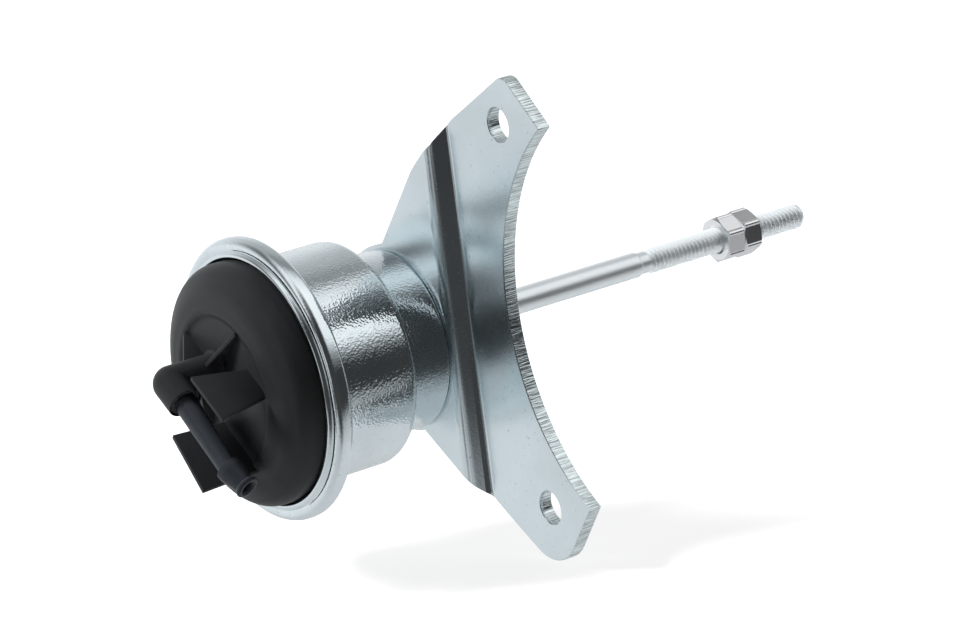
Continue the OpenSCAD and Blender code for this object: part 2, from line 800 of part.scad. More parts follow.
// Hexagon nut with chamfered corners and a lead-in at both ends of its bore
module hex_nut(turn, tint) {
    corner_d = nut_af / cos(30);
    corner = corner_d / 2;
    crown = nut_af * 0.485;
    drop = (corner - crown) * tan(30);
    bore = rod_r + run_gap;
    lead = 0.4;
    color(tint) rotate([turn, 0, 0]) difference() {
        intersection() {
            rotate([0, 90, 0]) cylinder(d = corner_d, h = nut_h, $fn = 6);
            turn_x([
                [0, 0],
                [crown, 0],
                [corner, drop],
                [corner, nut_h - drop],
                [crown, nut_h],
                [0, nut_h]]);
        }
        bar_x(bore, -1, nut_h + 1);
        cone_x(bore + lead, bore, -eps, lead);
        cone_x(bore, bore + lead, nut_h - lead, nut_h + eps);
    }
}

module lock_nut() {
    on_axis() translate([nut_inner_x, 0, 0]) hex_nut(inner_nut_turn, [0.84, 0.84, 0.88]);
}

module adjuster_nut() {
    on_axis() translate([nut_outer_x, 0, 0]) hex_nut(outer_nut_turn, [0.84, 0.84, 0.88]);
}

canister();
cap();
pipe_elbow();
short_fin();
long_fin();
hose_pipe();
pipe_seal();
diaphragm();
clamp_disc();
head_washer();
piston_cup();
spacer_sleeve();
push_rod();
return_spring();
spring_seat();
guide_bush();
stop_bumper();
rod_seal();
seal_keeper();
bracket();
clinch_collar();
lock_nut();
adjuster_nut();
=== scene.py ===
"""Boost pressure actuator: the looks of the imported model, laid out as a Blender add-on."""

import math

import bmesh
import bpy
from bpy.props import FloatProperty, FloatVectorProperty, IntProperty, PointerProperty
from mathutils import Matrix, Vector
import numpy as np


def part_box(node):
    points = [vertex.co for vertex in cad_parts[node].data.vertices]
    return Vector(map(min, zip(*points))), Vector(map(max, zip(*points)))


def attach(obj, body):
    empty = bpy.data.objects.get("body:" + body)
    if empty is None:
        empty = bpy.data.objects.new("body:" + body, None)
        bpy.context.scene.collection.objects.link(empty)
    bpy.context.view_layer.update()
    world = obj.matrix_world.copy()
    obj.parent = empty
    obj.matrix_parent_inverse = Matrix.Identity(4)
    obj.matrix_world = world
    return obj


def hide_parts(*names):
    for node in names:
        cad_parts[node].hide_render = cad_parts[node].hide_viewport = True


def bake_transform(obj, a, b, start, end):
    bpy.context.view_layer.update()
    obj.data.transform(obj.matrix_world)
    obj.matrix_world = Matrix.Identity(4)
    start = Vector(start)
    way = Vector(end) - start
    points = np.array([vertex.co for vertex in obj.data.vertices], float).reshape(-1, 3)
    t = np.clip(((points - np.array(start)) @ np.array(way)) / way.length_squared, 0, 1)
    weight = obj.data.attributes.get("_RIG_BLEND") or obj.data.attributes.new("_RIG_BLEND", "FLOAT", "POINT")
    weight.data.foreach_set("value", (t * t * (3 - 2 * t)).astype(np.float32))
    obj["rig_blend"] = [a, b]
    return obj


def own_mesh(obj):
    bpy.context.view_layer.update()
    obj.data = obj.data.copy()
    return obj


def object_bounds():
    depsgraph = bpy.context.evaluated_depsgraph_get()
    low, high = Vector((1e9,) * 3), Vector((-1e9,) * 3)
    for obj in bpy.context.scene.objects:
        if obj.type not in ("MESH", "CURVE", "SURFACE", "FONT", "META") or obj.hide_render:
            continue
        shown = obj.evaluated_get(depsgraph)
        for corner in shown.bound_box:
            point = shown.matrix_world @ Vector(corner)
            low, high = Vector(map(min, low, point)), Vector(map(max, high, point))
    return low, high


bl_info = {
    "name": "Boost Pressure Actuator",
    "version": (1, 0, 0),
    "blender": (4, 5, 0),
    "location": "View3D > Sidebar > Actuator",
    "description": "Builds the detailed pieces and finishes of a boost pressure actuator around its packed frame",
    "category": "Object",
}

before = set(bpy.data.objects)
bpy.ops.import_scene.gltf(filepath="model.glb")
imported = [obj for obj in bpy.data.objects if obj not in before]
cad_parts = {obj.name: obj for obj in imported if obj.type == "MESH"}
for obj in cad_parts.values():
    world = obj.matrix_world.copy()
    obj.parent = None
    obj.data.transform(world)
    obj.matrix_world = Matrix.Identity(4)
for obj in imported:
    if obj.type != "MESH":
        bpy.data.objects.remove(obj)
CAD_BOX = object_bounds()

MM = 0.001
BODY = "actuator_body"
ROD = "rod_assembly"


def node_span(node, along):
    """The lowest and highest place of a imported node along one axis, in millimetres."""
    low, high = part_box(node)
    return low[along] / MM, high[along] / MM


def rotation(degrees, axis, size=4):
    """A turn about one axis, as a matrix."""
    return Matrix.Rotation(math.radians(degrees), size, axis)


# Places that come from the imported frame, in millimetres
LIP_X, SEAT_X = node_span("canister", 0)
RIM_LOW, RIM_HIGH = node_span("canister", 2)
RIM_R = (RIM_HIGH - RIM_LOW) / 2
AXIS_Y = sum(node_span("canister", 1)) / 2
AXIS_Z = (RIM_LOW + RIM_HIGH) / 2
HEAD_X, TIP_X = node_span("push_rod", 0)
CUP_X = node_span("piston_cup", 0)[0]
LOCK_X = node_span("lock_nut", 0)
ADJUST_X = node_span("adjuster_nut", 0)

# Sizes that several pieces share, in millimetres
MERGE = 1e-4
FACE_X = -53.4
ROD_R = 3.0
BUSH_R = 6.0
BOLT_HOLE_R = 3.75
BOLT_HOLE_AWAY = 42.6
SOCKET_MOUTH = 6.2
RIB_HALF = 0.55
ELBOW_OUT, ELBOW_Y, ELBOW_Z = 10.4, 3.6, 4.1

# In degrees: where the pipe points, round the rod's axis, and how far the bracket's bends lean
PIPE_TURN = 216.4
PLATE_LEAN = 1.55

ROD_LINE = Matrix.Translation((0, AXIS_Y, AXIS_Z))
# The pipe's own frame: X along the pipe, Y away from the cap, Z sideways
PIPE_CENTRE = Vector((FACE_X - ELBOW_OUT, AXIS_Y + ELBOW_Y, AXIS_Z + ELBOW_Z))
PIPE_LINE = Matrix.Translation(PIPE_CENTRE) @ rotation(PIPE_TURN, "X") @ rotation(90, "Z")
# The bracket's own frame: its bends run along Z
PLATE_FRAME = ROD_LINE @ rotation(PLATE_LEAN, "X")


# The studio's panels as the gloss sees them: angle round X from +Y towards +Z, in degrees, and brightness
PANELS = (
    (0, 0.9),
    (22, 0.72),
    (45, 0.5),
    (62, 0.42),
    (70, 0.3),
    (80, 0.27),
    (93, 0.82),
    (108, 1.12),
    (148, 0.95),
    (160, 0.3),
    (172, 0.04),
    (202, 0.04),
    (214, 0.42),
    (236, 0.65),
    (300, 0.64),
    (322, 0.6),
    (340, 0.8),
    (360, 0.9),
)
# The same for gloss that is turned towards the cap's end
CAP_END_PANELS = (
    (0, 0.85),
    (20, 0.6),
    (40, 0.2),
    (55, 0.16),
    (70, 0.6),
    (82, 0.95),
    (95, 0.8),
    (110, 0.2),
    (128, 0.04),
    (222, 0.05),
    (242, 0.5),
    (300, 0.64),
    (340, 0.8),
    (360, 0.85),
)
PANEL_TINT = (0.97, 1.0, 1.02)
# What the gloss sees nearly along X: past the rod's tip, in a ring round the cap's end, and within the ring
ROD_END_GREY = (0.62, 0.64, 0.65)
DARK_RING = (0.055, 0.05, 0.048)
CAP_END_GREY = (0.55, 0.57, 0.58)


# ---------------------------------------------------------------- sizes and colours


class ActuatorSizes(bpy.types.PropertyGroup):
    """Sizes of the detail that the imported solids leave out."""

    turn_steps: IntProperty(
        name="Steps a turn", default=192, min=48, max=384,
        description="Facets round a turned piece",
    )
    edge_break: FloatProperty(
        name="Edge break", default=0.3, min=0.05, max=0.8,
        description="Rounding of the bracket's punched edges, in millimetres",
    )
    groove_depth: FloatProperty(
        name="Lip groove", default=0.3, min=0, max=0.6,
        description="Depth of the valley between the lip and the rolled bead, in millimetres",
    )
    thread_pitch: FloatProperty(
        name="Thread pitch", default=1.17, min=0.7, max=1.5,
        description="Distance between the thread's crests, in millimetres",
    )
    thread_depth: FloatProperty(
        name="Thread depth", default=0.55, min=0.2, max=0.8,
        description="Height of the thread's crests over its root, in millimetres",
    )
    rib_edge: FloatProperty(
        name="Rib edge", default=0.22, min=0.05, max=0.5,
        description="Rounding of the edges of ribs and fins, in millimetres",
    )


class ActuatorFinish(bpy.types.PropertyGroup):
    """Colours of the finishes."""

    can_zinc: FloatVectorProperty(
        name="Canister zinc", subtype="COLOR", default=(0.85, 0.92, 0.95),
        description="Colour of the bright zinc on the canister",
    )
    plate_zinc: FloatVectorProperty(
        name="Bracket zinc", subtype="COLOR", default=(0.72, 0.79, 0.82),
        description="Colour of the pale blue zinc on the bracket",
    )
    rod_steel: FloatVectorProperty(
        name="Rod steel", subtype="COLOR", default=(0.87, 0.91, 0.93),
        description="Colour of the bright push rod and its thread",
    )
    nut_zinc: FloatVectorProperty(
        name="Nut zinc", subtype="COLOR", default=(0.96, 0.95, 0.97),
        description="Colour of the plated nuts",
    )
    moulding: FloatVectorProperty(
        name="Cap moulding", subtype="COLOR", default=(0.0092, 0.0098, 0.0105),
        description="Colour of the black cap, its elbow, ribs and fins",
    )
    pipe: FloatVectorProperty(
        name="Pipe moulding", subtype="COLOR", default=(0.0105, 0.0122, 0.0148),
        description="Colour of the hose pipe",
    )


class StudioSettings(bpy.types.PropertyGroup):
    """The stage: floor, lamps and surroundings."""

    floor_tone: FloatProperty(
        name="Floor tone", subtype="FACTOR", default=0.93, min=0, max=1,
        description="Brightness of the pale floor",
    )
    key_power: FloatProperty(
        name="Key lamp", unit="POWER", default=32.0, min=0,
        description="Power of the lamp at the upper left",
    )
    fill_power: FloatProperty(
        name="Fill lamp", unit="POWER", default=2.5, min=0,
        description="Power of the lamp on the rod's side",
    )
    sky_level: FloatProperty(
        name="Sky level", default=0.15, min=0, max=2,
        description="Brightness of the even surroundings",
    )
    gloss_level: FloatProperty(
        name="Panel level", default=1.0, min=0, max=2,
        description="Brightness of the panels that the gloss sees",
    )


# ---------------------------------------------------------------- mesh tools


def linked(name, data):
    """A new object in the scene, at the origin."""
    made = bpy.data.objects.new(name, data)
    bpy.context.scene.collection.objects.link(made)
    return made


def finish_piece(name, bm, place, body, slot, node, *materials, sharp=35):
    """Moves a mesh from its own frame in millimetres to the row frame, as a piece that replaces a node.

    The piece rides on the body, if one is named.
    """
    bmesh.ops.remove_doubles(bm, verts=bm.verts[:], dist=MERGE)
    bmesh.ops.dissolve_degenerate(bm, dist=MERGE / 10, edges=bm.edges[:])
    bmesh.ops.recalc_face_normals(bm, faces=bm.faces[:])
    bmesh.ops.transform(bm, matrix=Matrix.Scale(MM, 4) @ place, verts=bm.verts[:])
    mesh = bpy.data.meshes.new(name)
    bm.to_mesh(mesh)
    bm.free()
    mesh.shade_smooth()
    mesh.set_sharp_from_angle(angle=math.radians(sharp))
    piece = linked(name, mesh)
    for material in materials:
        mesh.materials.append(material)
    if body:
        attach(piece, body)
    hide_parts(node)
    return piece


def rounded(bm, geom, setback, segments, affect="VERTICES"):
    """Rounds corners or edges over a setback."""
    bmesh.ops.bevel(
        bm,
        geom=geom,
        offset=setback,
        offset_type="OFFSET",
        segments=segments,
        profile=0.5,
        affect=affect,
        material=-1,
    )


def new_verts(made):
    """The vertices among the results of a bmesh operator."""
    return [g for g in made if isinstance(g, bmesh.types.BMVert)]


def wire(bm, corners, closed=False, segments=6):
    """A line through corners (x, y, z, setback), each rounded over its setback."""
    verts = [bm.verts.new(c[:3]) for c in corners]
    for a, b in zip(verts, verts[1:]):
        bm.edges.new((a, b))
    if closed:
        bm.edges.new((verts[-1], verts[0]))
    for vert, corner in zip(verts, corners):
        if corner[3] > 0:
            rounded(bm, [vert], corner[3], segments)


def turned(corners, steps, closed=True, segments=6):
    """A mesh turned about X from (x, radius, setback) corners."""
    bm = bmesh.new()
    wire(bm, [(x, r, 0, setback) for x, r, setback in corners], closed, segments)
    bmesh.ops.spin(
        bm,
        geom=bm.verts[:] + bm.edges[:],
        cent=(0, 0, 0),
        axis=(1, 0, 0),
        dvec=(0, 0, 0),
        angle=math.tau,
        steps=steps,
        use_merge=True,
    )
    return bm


def slab(corners, z0, z1, edge):
    """A plate from (x, y) corners, from z0 to z1, with its edges rounded."""
    bm = bmesh.new()
    verts = [bm.verts.new((x, y, z0)) for x, y in corners]
    face = bm.faces.new(verts)
    made = bmesh.ops.extrude_face_region(bm, geom=[face])
    lifted = new_verts(made["geom"])
    bmesh.ops.translate(bm, verts=lifted, vec=(0, 0, z1 - z0))
    edges = list({e for v in verts + lifted for e in v.link_edges})
    rounded(bm, edges, edge, 3, "EDGES")
    return bm


# ---------------------------------------------------------------- shader tools


class Value:
    """A shader socket that can be used in sums."""

    def __init__(self, finish, socket):
        self.finish = finish
        self.socket = socket

    def _with(self, operation, first, second):
        return self.finish.add("ShaderNodeMath", (first, second), operation=operation)

    def __add__(self, other):
        return self._with("ADD", self, other)

    def __radd__(self, other):
        return self._with("ADD", other, self)

    def __sub__(self, other):
        return self._with("SUBTRACT", self, other)

    def __rsub__(self, other):
        return self._with("SUBTRACT", other, self)

    def __mul__(self, other):
        return self._with("MULTIPLY", self, other)

    def __truediv__(self, other):
        return self._with("DIVIDE", self, other)

    def held(self, low, high):
        """The value spread from low..high to 0..1 and held there."""
        span = {"Value": self, "From Min": low, "From Max": high}
        return self.finish.add("ShaderNodeMapRange", span, clamp=True)


class Finish:
    """A material, or the world, that is built from expressions."""

    def __init__(self, name, world=False):
        self.material = bpy.data.worlds.new(name) if world else bpy.data.materials.new(name)
        self.material.use_nodes = True
        self.tree = self.material.node_tree
        self.shader = self.tree.nodes["Background" if world else "Principled BSDF"]
        self.coords = None

    def add(self, kind, inputs=(), out=0, stops=(), **settings):
        """Adds a node, sets it up, gives its sockets their values or links, and gives one of its outputs."""
        node = self.tree.nodes.new(kind)
        for key, value in settings.items():
            setattr(node, key, value)
        if stops:
            ramp = node.color_ramp.elements
            for end in (0, -1):
                ramp[end].position, ramp[end].color = stops[end][0], rgba(stops[end][1])
            for place, colour in stops[1:-1]:
                ramp.new(place).color = rgba(colour)
        for key, value in inputs.items() if isinstance(inputs, dict) else enumerate(inputs):
            self.feed(node.inputs[key], value)
        return Value(self, node.outputs[out])

    def feed(self, socket, value):
        """Gives a socket a link or a plain value."""
        if isinstance(value, Value):
            self.tree.links.new(value.socket, socket)
        else:
            socket.default_value = value

    def place(self, stretch=(1, 1, 1)):
        """Object coordinates, each times its part of stretch."""
        if self.coords is None:
            self.coords = self.add("ShaderNodeTexCoord", out="Object")
        return self.add("ShaderNodeMapping", {"Vector": self.coords, "Scale": stretch})

    def noise(self, scale, detail, rough, stretch=(1, 1, 1)):
        """A cloud of values about 0.5. Scale is in features a metre."""
        inputs = {"Vector": self.place(stretch), "Scale": scale, "Detail": detail, "Roughness": rough}
        return self.add("ShaderNodeTexNoise", inputs)

    def blend(self, factor, first, second):
        """One colour where factor is 0, and the other where it is 1."""
        inputs = {0: factor, 6: rgba(first), 7: rgba(second)}
        return self.add("ShaderNodeMix", inputs, out=2, data_type="RGBA")

    def bump(self, height, depth, strength=1.0):
        """A bump of that depth in metres."""
        return self.add("ShaderNodeBump", {"Strength": strength, "Distance": depth, "Height": height})

    def done(self, **sockets):
        """Feeds the shader's sockets and gives the material."""
        for name, value in sockets.items():
            self.feed(self.shader.inputs[name.replace("_", " ")], value)
        return self.material

    def shows(self, output, surface):
        """Links a shader to the surface of the material's or the world's output."""
        self.tree.links.new(surface.socket, self.tree.nodes[output].inputs["Surface"])


def rgba(colour):
    """A colour with its fourth value, or a link as it is."""
    return colour if isinstance(colour, Value) else (*colour[:3], 1)


def tone(colour, by):
    """A colour made lighter or darker."""
    return tuple(min(1.0, c * by) for c in colour)


# ---------------------------------------------------------------- finishes


def bright_zinc(name, colour):
    """Bright zinc on drawn sheet: an orange-peel skin that breaks its reflections into specks."""
    f = Finish(name)
    peel = f.noise(2150, 0, 0.5)
    grain = f.noise(700, 1, 0.5)
    # the rolled rim is smoother than the drawn wall behind it
    rim_x, wall_x, rim_peel = -0.0425, -0.0405, 0.22
    along = f.add("ShaderNodeSeparateXYZ", (f.place(),))
    skin = rim_peel + along.held(rim_x, wall_x) * (1 - rim_peel)
    cloud = f.noise(60, 4, 0.6)
    spots = f.noise(900, 2, 0.5).held(0.62, 0.72)
    base = f.blend(cloud.held(0.35, 0.7), tone(colour, 0.93), tone(colour, 1.06))
    base = f.blend(spots * 0.25, base, tone(colour, 0.6))
    rough = 0.1 + cloud * 0.05 + spots * 0.1
    height = f.bump((peel + grain * 0.45) * skin, 0.00005)
    return f.done(Base_Color=base, Metallic=1.0, Roughness=rough, Normal=height)


def plate_zinc(name, colour):
    """Satin zinc on rolled plate, with a faint grain and small handling marks."""
    f = Finish(name)
    cloud = f.noise(35, 4, 0.55)
    grain = f.noise(1800, 2, 0.6)
    marks = f.noise(1100, 2, 0.6).held(0.67, 0.73)
    base = f.blend(cloud.held(0.35, 0.65), tone(colour, 0.95), tone(colour, 1.07))
    base = f.blend(marks * 0.4, base, tone(colour, 0.45))
    rough = 0.18 + cloud * 0.06 + marks * 0.1
    return f.done(Base_Color=base, Metallic=1.0, Roughness=rough, Normal=f.bump(grain, 0.00002, 0.8))


def sheared_zinc(name, colour):
    """The punched edge of the plate: fine score lines across its thickness."""
    f = Finish(name)
    lines = f.noise(2600, 2, 0.6, stretch=(0.06, 1, 1))
    cloud = f.noise(120, 3, 0.5)
    base = f.blend(lines.held(0.36, 0.6), tone(colour, 0.62), tone(colour, 1.2))
    rough = 0.16 + cloud * 0.1
    return f.done(Base_Color=base, Metallic=1.0, Roughness=rough, Normal=f.bump(lines, 0.00016))


def drawn_steel(name, colour, metal=1.0):
    """Bright drawn bar or wire: fine lines along its length."""
    f = Finish(name)
    lines = f.noise(1400, 2, 0.5, stretch=(0.03, 1, 1))
    cloud = f.noise(90, 3, 0.5)
    base = f.blend(cloud, tone(colour, 0.94), tone(colour, 1.05))
    rough = 0.3 + lines * 0.08 + cloud * 0.05
    return f.done(Base_Color=base, Metallic=metal, Roughness=rough, Normal=f.bump(lines, 0.00001, 0.7))


def plated_steel(name, colour, rough=0.26, metal=1.0):
    """Plain plated or pressed steel with a faint grain."""
    f = Finish(name)
    cloud = f.noise(140, 3, 0.5)
    grain = f.noise(2400, 2, 0.5)
    base = f.blend(cloud, tone(colour, 0.9), tone(colour, 1.06))
    skin = f.bump(grain, 0.000015, 0.8)
    return f.done(Base_Color=base, Metallic=metal, Roughness=rough + cloud * 0.12, Normal=skin)


def moulded_black(name, colour, rough=0.42, grain_depth=0.00002):
    """Moulded plastic with a fine spark-eroded grain and cloudy gloss."""
    f = Finish(name)
    cloud = f.noise(45, 4, 0.6)
    grain = f.noise(2600, 2, 0.6)
    base = f.blend(cloud.held(0.3, 0.7), tone(colour, 0.85), tone(colour, 1.2))
    rough = rough + (cloud - 0.5) * 0.16
    skin = f.bump(grain, grain_depth, 0.9)
    return f.done(Base_Color=base, Roughness=rough, Normal=skin, Specular_IOR_Level=0.12)


def black_rubber(name, colour=(0.018, 0.018, 0.019)):
    """Matt rubber with a dusty bloom."""
    f = Finish(name)
    cloud = f.noise(80, 4, 0.6)
    grain = f.noise(1800, 2, 0.6)
    base = f.blend(cloud.held(0.4, 0.8), colour, tone(colour, 1.8))
    return f.done(Base_Color=base, Roughness=0.7 + cloud * 0.2, Normal=f.bump(grain, 0.00003, 0.8))


def sintered_bronze(name, colour=(0.45, 0.33, 0.17)):
    """Oiled sintered bronze with open pores."""
    f = Finish(name)
    pores = f.noise(2600, 2, 0.6)
    cloud = f.noise(110, 3, 0.5)
    base = f.blend(pores.held(0.35, 0.6), tone(colour, 0.6), colour)
    rough = 0.38 + cloud * 0.15
    return f.done(Base_Color=base, Metallic=1.0, Roughness=rough, Normal=f.bump(pores, 0.00003, 0.8))


# ---------------------------------------------------------------- pieces


class ACTUATOR_OT_canister(bpy.types.Operator):
    """Spin the deep-drawn canister with its rolled rim and lip"""

    bl_idname = "actuator.canister"
    bl_label = "Canister"

    sheet = 0.9
    wall_r = 25.6
    foot_r = 20.6
    step_x = -18.9
    flange_x = -40.7
    roll_x = -44.3
    lip_r = 27.9
    cap_seat_r = 31.1

    def execute(self, context):
        sizes = context.scene.actuator_sizes
        colours = context.scene.actuator_finish
        inner_wall, inner_foot = self.wall_r - self.sheet, self.foot_r - self.sheet
        corners = [
            (SEAT_X, BUSH_R, 0),
            (SEAT_X, self.foot_r, 1.2),
            (self.step_x, self.foot_r, 0.8),
            (self.step_x, self.wall_r, 2.4),
            (self.flange_x, self.wall_r, 1.3),
            (self.flange_x, RIM_R, 1.35),
            (self.roll_x, RIM_R, 1.3),
            (self.roll_x - 0.75, 30.05, 0.8),
            (self.roll_x - 0.7 + sizes.groove_depth, 29.25, 0.3),
            (LIP_X + 0.15, 28.75, 0.3),
            (LIP_X, self.lip_r, 0.3),
            (LIP_X + 0.95, self.lip_r, 0),
            (self.roll_x + self.sheet, self.cap_seat_r, 0),
            (self.flange_x - self.sheet, self.cap_seat_r, 0),
            (self.flange_x - self.sheet, inner_wall, 0.9),
            (self.step_x - self.sheet, inner_wall, 1.9),
            (self.step_x - self.sheet, inner_foot, 0.8),
            (SEAT_X - self.sheet, inner_foot, 0.6),
            (SEAT_X - self.sheet, BUSH_R, 0),
        ]
        zinc = bright_zinc("bright_zinc_can", colours.can_zinc)
        bm = turned(corners, sizes.turn_steps)
        finish_piece("canister_shell", bm, ROD_LINE, BODY, "zinc_can", "canister", zinc)
        return {"FINISHED"}


class ACTUATOR_OT_cap(bpy.types.Operator):
    """Build the moulded cap: shell, elbow, ribs and guard fins"""

    bl_idname = "actuator.cap"
    bl_label = "Cap"

    inner_x = FACE_X + 3
    inner_r = 25.0
    edge_r = 27.4
    flange_r = 30.95
    flange_x = (-43.4, -42.8)
    boss_r = (11.0, 13.0)
    boss_x = -45.2
    elbow_r = 4.05
    elbow_steps = 64
    bend_steps = 14

    def execute(self, context):
        sizes = context.scene.actuator_sizes
        material = moulded_black("cap_moulding", context.scene.actuator_finish.moulding)
        self.shell(sizes, material)
        self.elbow(material)
        self.ribs(sizes, material)
        self.fins(sizes, material)
        return {"FINISHED"}

    def shell(self, sizes, material):
        """The domed cap with its shallow dish in front, its flange in the lip and a round boss inside."""
        corners = [
            (FACE_X + 0.6, 0, 0),
            (FACE_X + 0.6, 16.4, 0.7),
            (FACE_X + 0.02, 17.4, 0.6),
            (FACE_X + 0.02, 18.4, 0.5),
            (FACE_X + 0.2, 19.4, 0.5),
            (FACE_X + 0.55, 22.2, 1.6),
            (FACE_X + 3.4, self.edge_r, 2.4),
            (LIP_X + 1.0, self.edge_r, 0.2),
            (self.flange_x[0], self.flange_r, 0),
            (self.flange_x[1], self.flange_r, 0),
            (self.flange_x[1], self.inner_r, 0.5),
            (self.inner_x, self.inner_r, 3.0),
            (self.inner_x, self.boss_r[1], 0),
            (self.boss_x, self.boss_r[1], 0.2),
            (self.boss_x, self.boss_r[0], 0.2),
            (self.inner_x, self.boss_r[0], 0),
            (self.inner_x, 0, 0),
        ]
        bm = turned(corners, sizes.turn_steps, closed=False, segments=8)
        finish_piece("cap_shell", bm, ROD_LINE, BODY, "black_moulding", "cap", material)

    def elbow(self, material):
        """The stub, its rounded corner and its socket, as one skin that meets itself on the inner side."""
        r, fillet = self.elbow_r, 1.3
        foot = PIPE_LINE.inverted() @ Vector((FACE_X + 0.9, PIPE_CENTRE.y, PIPE_CENTRE.z))
        flat = Matrix.Translation(foot) @ rotation(90, "X")
        bm = bmesh.new()
        made = bmesh.ops.create_circle(bm, segments=self.elbow_steps, radius=r + fillet, matrix=flat)
        ring, ring_verts = bm.edges[:], made["verts"]

        def grow(shift=(0, 0, 0), size=1.0, centre=(0, 0, 0)):
            """Extrudes the open ring, moves it and scales it about a centre."""
            nonlocal ring, ring_verts
            extruded = bmesh.ops.extrude_edge_only(bm, edges=ring)["geom"]
            ring_verts = new_verts(extruded)
            inside = set(ring_verts)
            ring = [g for g in extruded if isinstance(g, bmesh.types.BMEdge) and set(g.verts) <= inside]
            bmesh.ops.translate(bm, verts=ring_verts, vec=shift)
            middle = Matrix.Translation(-Vector(centre))
            bmesh.ops.scale(bm, verts=ring_verts, vec=(size, size, size), space=middle)

        # a small fillet from the cap's face up to the stub
        at, radius = Vector(foot), r + fillet
        for up, target in ((0.25, r + 0.7), (0.3, r + 0.35), (0.4, r + 0.12), (0.6, r)):
            at.y += up
            grow((0, up, 0), target / radius, at)
            radius = target
        grow((0, -at.y, 0))
        # round the corner: outer side on a ball, inner side on the mitre
        for _ in range(self.bend_steps):
            grow()
            part = rotation(-90 / self.bend_steps, "Z", 3)
            bmesh.ops.rotate(bm, verts=ring_verts, cent=(0, 0, 0), matrix=part)
        for vert in bm.verts:
            inner = vert.co.x > -1e-6 and vert.co.y < 1e-6
            near = vert.co.length < r * 1.02
            if inner and near:
                reach = math.sqrt(max(0.0, r * r - vert.co.z**2))
                vert.co.x, vert.co.y = reach, -reach
        # along the socket, over its rim and down to the floor of its pocket
        place, radius = 0.0, r
        for back, target in (
            (0.5, 4.0),
            (0.15, 3.97),
            (0.03, 3.9),
            (0.0, 3.8),
            (0.03, 3.66),
            (0.15, 3.58),
            (1.2, 3.56),
            (1.2, 2.0),
        ):
            shift = SOCKET_MOUTH - back - place
            place = SOCKET_MOUTH - back
            grow((shift, 0, 0), target / radius, (place, 0, 0))
            radius = target
        # the foot, inside the cap's face, and the pocket's floor
        bmesh.ops.holes_fill(bm, edges=[e for e in bm.edges if e.is_boundary], sides=0)
        finish_piece("cap_elbow", bm, PIPE_LINE, BODY, "black_moulding", "pipe_elbow", material, sharp=50)

    def ribs(self, sizes, material):
        """Three ribs from the elbow down to the face."""
        foot_x, inner, outer = FACE_X + 1.6, 2.4, 3.85
        ribs = bmesh.new()
        for turn, reach, rise in ((-75.4, 15.9, 3.1), (75.4, 15.9, 3.1), (180, 12.1, 5.1)):
            outline = [(foot_x, inner), (foot_x, reach), (FACE_X - 0.2, reach), (FACE_X - rise, outer)]
            rib = slab(outline, -RIB_HALF, RIB_HALF, sizes.rib_edge)
            spin = Matrix.Translation((0, ELBOW_Y, ELBOW_Z)) @ rotation(PIPE_TURN + turn, "X")
            bmesh.ops.transform(rib, matrix=spin, verts=rib.verts[:])
            held = bpy.data.meshes.new("rib")
            rib.to_mesh(held)
            rib.free()
            ribs.from_mesh(held)
            bpy.data.meshes.remove(held)
        finish_piece("elbow_ribs", ribs, ROD_LINE, BODY, "black_moulding", "pipe_elbow", material)

    def fins(self, sizes, material):
        """The two guard fins beside the pipe; the long one's edge rises towards the barb."""
        aside = 9.6
        foot = PIPE_CENTRE.x - (FACE_X + 1.7)
        for name, side, start, length, lean, over, rise in (
            ("short_fin", -1, 7.4, 13.3, 2.6, 1.7, 0.0),
            ("long_fin", 1, 6.5, 16.6, 0.8, 2.65, 1.05),
        ):
            middle, end = side * aside, start + length
            outline = [(start + lean, foot), (start, over - rise), (end, over + rise), (end - lean, foot)]
            fin = slab(outline, middle - RIB_HALF, middle + RIB_HALF, sizes.rib_edge)
            finish_piece(name + "_plate", fin, PIPE_LINE, BODY, "black_moulding", name, material)


class ACTUATOR_OT_hose_pipe(bpy.types.Operator):
    """Turn the tapered hose pipe with its barb, then bend it at the socket and at the barb"""

    bl_idname = "actuator.hose_pipe"
    bl_label = "Hose pipe"

    foot = 1.6
    barb = 25.9
    bore = 1.45
    plug_r = 2.3
    root_r = 2.65
    barb_r = 2.9
    tip_r = 2.75
    tip = 32.8
    # place along the pipe and bend there, in degrees
    bends = ((barb, -13.8), (SOCKET_MOUTH, 3.8))

    def execute(self, context):
        mouth, barb, tip, bore = SOCKET_MOUTH, self.barb, self.tip, self.bore
        corners = [
            (self.foot, bore, 0),
            (self.foot, self.plug_r, 0),
            (mouth - 0.5, self.plug_r, 0.1),
            (mouth - 0.25, self.root_r, 0.1),
            (mouth, self.root_r, 0),
            (barb - 0.6, 2.07, 0),
            (barb, 2.3, 0),
            (barb, self.barb_r, 0.12),
            (barb + 1.4, self.barb_r, 0.3),
            (barb + 5.6, 2.15, 0.3),
            (tip - 0.85, self.tip_r, 0.26),
            (tip, self.tip_r, 0.5),
            (tip, bore + 0.42, 0.12),
            (tip - 0.45, bore, 0.1),
            (barb, bore, 0),
            (mouth, bore, 0),
        ]
        bm = turned(corners, 96)
        bmesh.ops.remove_doubles(bm, verts=bm.verts[:], dist=MERGE)
        for place, lean in self.bends:
            past = [v for v in bm.verts if v.co.x > place - 1e-3]
            bmesh.ops.rotate(bm, verts=past, cent=(place, 0, 0), matrix=rotation(lean, "Z", 3))
        colour = context.scene.actuator_finish.pipe
        material = moulded_black("pipe_moulding", colour, rough=0.3, grain_depth=0.000008)
        finish_piece("hose_pipe_turned", bm, PIPE_LINE, BODY, "pipe_moulding", "hose_pipe", material)
        return {"FINISHED"}


